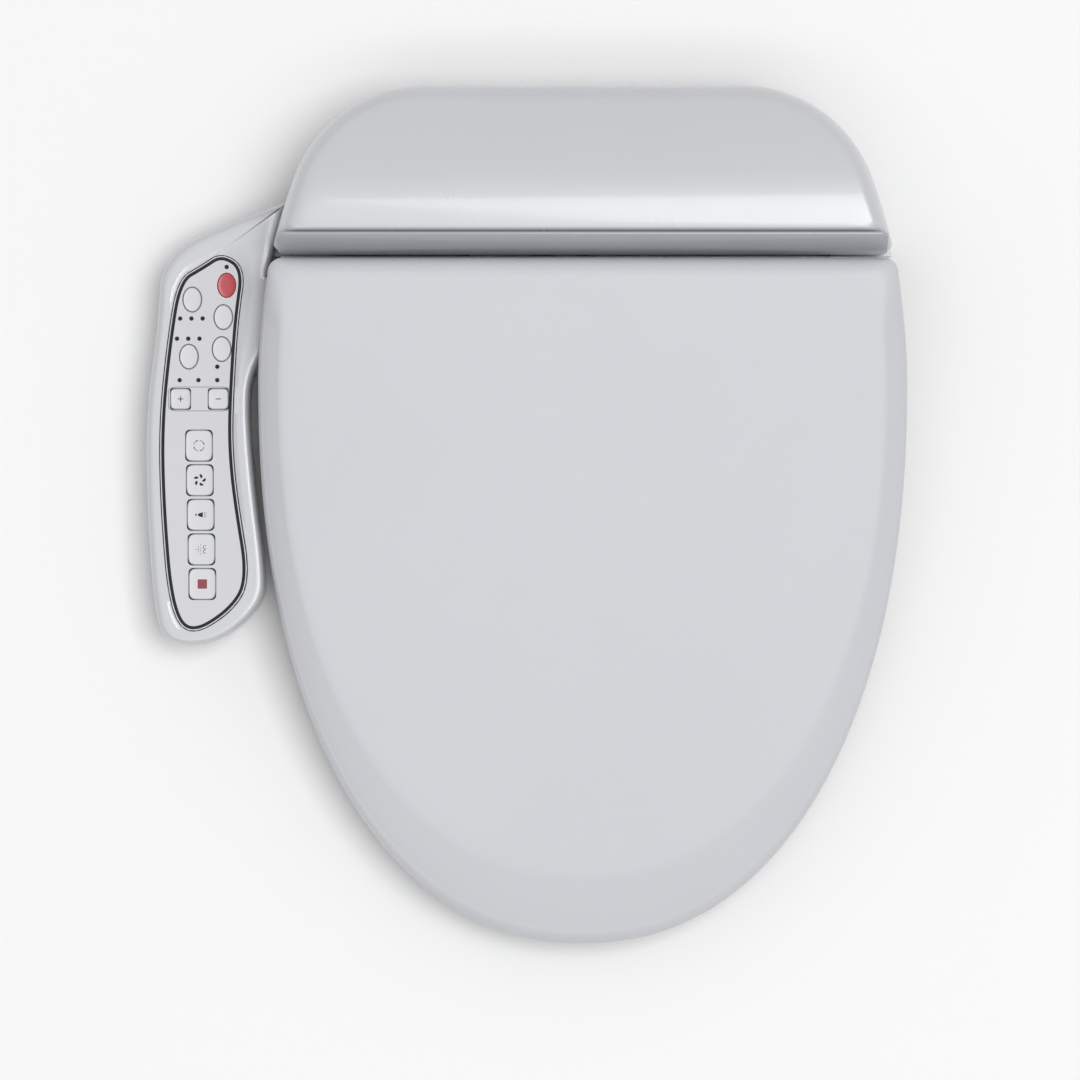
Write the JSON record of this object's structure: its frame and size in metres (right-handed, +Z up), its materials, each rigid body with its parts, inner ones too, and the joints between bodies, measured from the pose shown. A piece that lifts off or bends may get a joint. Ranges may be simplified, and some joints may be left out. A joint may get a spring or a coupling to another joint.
{
  "type": "electric bidet seat",
  "caption": "Elongated electric bidet seat with a rear housing, soft-close lid and ring, extending spray nozzles and a side control arm.",
  "frame": {"origin": "midpoint between the two bowl bolts, on the underside of the mounting plate", "axes": "+Z up, -Y towards the seat's front tip, +X to the side away from the control arm"},
  "size_m": [0.453, 0.51, 0.1195],
  "materials": {
    "white_shell": "gloss",
    "white_lid": "gloss",
    "white_ring": "gloss",
    "grey_trim": "gloss",
    "panel_film": "satin",
    "black_print": "satin",
    "white_key": "satin",
    "red_key": "satin",
    "grey_rubber": "matte",
    "steel": "satin",
    "inner_plastic": "satin",
    "dark_plastic": "matte",
    "circuit_board": "satin",
    "copper_coil": "satin",
    "heater_foil": "satin",
    "nozzle_white": "gloss"
  },
  "bodies": {
    "housing": {"base_tray": "white_shell", "rear_cover": "white_shell", "hinge_trim": "grey_trim", "nozzle_hood": "white_shell", "hinge_brackets": "inner_plastic", "hinge_pins": "steel", "bracket_screws": "steel", "base_feet": "grey_rubber", "water_tank": "inner_plastic", "tank_heater": "copper_coil", "inlet_fitting": "inner_plastic", "solenoid_valve": "dark_plastic", "diverter_valve": "inner_plastic", "water_hoses": "inner_plastic", "nozzle_cylinders": "inner_plastic", "air_duct": "inner_plastic", "blower_housing": "dark_plastic", "blower_motor": "steel", "dryer_heater": "heater_foil", "main_pcb": "circuit_board", "transformer": "copper_coil", "cord_gland": "dark_plastic", "arm_lower_case": "white_shell", "arm_upper_case": "white_shell", "panel_deck": "white_shell", "control_overlay": "panel_film", "overlay_line": "black_print", "led_windows": "black_print", "control_pcb": "circuit_board", "key_switches": "dark_plastic"},
    "seat": {"seat_ring_top": "white_ring", "seat_ring_base": "white_ring", "seat_heater": "heater_foil", "seat_bumpers": "grey_rubber", "seat_damper": "dark_plastic"},
    "lid": {"lid_shell": "white_lid", "lid_liner": "white_lid", "lid_bumpers": "grey_rubber", "lid_damper": "dark_plastic"},
    "mounting_plate": {"mounting_plate": "inner_plastic", "slot_washers": "steel"},
    "rear_nozzle": {"rear_nozzle": "nozzle_white", "rear_spray_tip": "nozzle_white"},
    "front_nozzle": {"front_nozzle": "nozzle_white", "front_spray_tip": "nozzle_white"},
    "blower_impeller": {"blower_impeller": "dark_plastic"},
    "dryer_flap": {"dryer_flap": "white_shell"},
    "release_button": {"release_button": "white_shell"},
    "power_key": {"power_key": "red_key"},
    "water_temp_key": {"water_temp_key": "white_key"},
    "seat_temp_key": {"seat_temp_key": "white_key"},
    "pressure_key": {"pressure_key": "white_key"},
    "position_key": {"position_key": "white_key"},
    "plus_key": {"plus_key": "white_key"},
    "minus_key": {"minus_key": "white_key"},
    "auto_key": {"auto_key": "white_key"},
    "dry_key": {"dry_key": "white_key"},
    "bidet_key": {"bidet_key": "white_key"},
    "clean_key": {"clean_key": "white_key"},
    "stop_key": {"stop_key": "white_key"}
  },
  "joints": [
    {"name": "seat_hinge", "type": "hinge", "parent": "housing", "child": "seat", "pos_m": [0, -0.066, 0.086], "axis": [1, 0, 0], "range_deg": [-95, 0]},
    {"name": "lid_hinge", "type": "hinge", "parent": "seat", "child": "lid", "pos_m": [0, -0.066, 0.086], "axis": [-1, 0, 0], "range_deg": [0, 100]},
    {"name": "plate_dock", "type": "slide", "parent": "housing", "child": "mounting_plate", "axis": [0, 1, 0], "range_m": [0, 0.045]},
    {"name": "rear_nozzle_slide", "type": "slide", "parent": "housing", "child": "rear_nozzle", "axis": [0, -0.9563, -0.2924], "range_m": [0, 0.07], "stiffness_N_per_m": 20, "springref_m": -0.03},
    {"name": "front_nozzle_slide", "type": "slide", "parent": "housing", "child": "front_nozzle", "axis": [0, -0.9563, -0.2924], "range_m": [0, 0.07], "stiffness_N_per_m": 20, "springref_m": -0.03},
    {"name": "impeller_spin", "type": "hinge", "parent": "housing", "child": "blower_impeller", "pos_m": [-0.077, 0.004, 0.03], "axis": [0, 0, 1], "continuous": true},
    {"name": "flap_hinge", "type": "hinge", "parent": "housing", "child": "dryer_flap", "pos_m": [-0.05, -0.1166, 0.0285], "axis": [-1, 0, 0], "range_deg": [0, 55]},
    {"name": "release_press", "type": "slide", "parent": "housing", "child": "release_button", "axis": [-1, 0, 0], "range_m": [0, 0.003], "stiffness_N_per_m": 800},
    {"name": "power_press", "type": "slide", "parent": "housing", "child": "power_key", "axis": [0, 0, -1], "range_m": [0, 0.0008], "stiffness_N_per_m": 400},
    {"name": "water_temp_press", "type": "slide", "parent": "housing", "child": "water_temp_key", "axis": [0, 0, -1], "range_m": [0, 0.0008], "stiffness_N_per_m": 400},
    {"name": "seat_temp_press", "type": "slide", "parent": "housing", "child": "seat_temp_key", "axis": [0, 0, -1], "range_m": [0, 0.0008], "stiffness_N_per_m": 400},
    {"name": "pressure_press", "type": "slide", "parent": "housing", "child": "pressure_key", "axis": [0, 0, -1], "range_m": [0, 0.0008], "stiffness_N_per_m": 400},
    {"name": "position_press", "type": "slide", "parent": "housing", "child": "position_key", "axis": [0, 0, -1], "range_m": [0, 0.0008], "stiffness_N_per_m": 400},
    {"name": "plus_press", "type": "slide", "parent": "housing", "child": "plus_key", "axis": [0, 0, -1], "range_m": [0, 0.0008], "stiffness_N_per_m": 400},
    {"name": "minus_press", "type": "slide", "parent": "housing", "child": "minus_key", "axis": [0, 0, -1], "range_m": [0, 0.0008], "stiffness_N_per_m": 400},
    {"name": "auto_press", "type": "slide", "parent": "housing", "child": "auto_key", "axis": [0, 0, -1], "range_m": [0, 0.0008], "stiffness_N_per_m": 400},
    {"name": "dry_press", "type": "slide", "parent": "housing", "child": "dry_key", "axis": [0, 0, -1], "range_m": [0, 0.0008], "stiffness_N_per_m": 400},
    {"name": "bidet_press", "type": "slide", "parent": "housing", "child": "bidet_key", "axis": [0, 0, -1], "range_m": [0, 0.0008], "stiffness_N_per_m": 400},
    {"name": "clean_press", "type": "slide", "parent": "housing", "child": "clean_key", "axis": [0, 0, -1], "range_m": [0, 0.0008], "stiffness_N_per_m": 400},
    {"name": "stop_press", "type": "slide", "parent": "housing", "child": "stop_key", "axis": [0, 0, -1], "range_m": [0, 0.0008], "stiffness_N_per_m": 400}
  ]
}
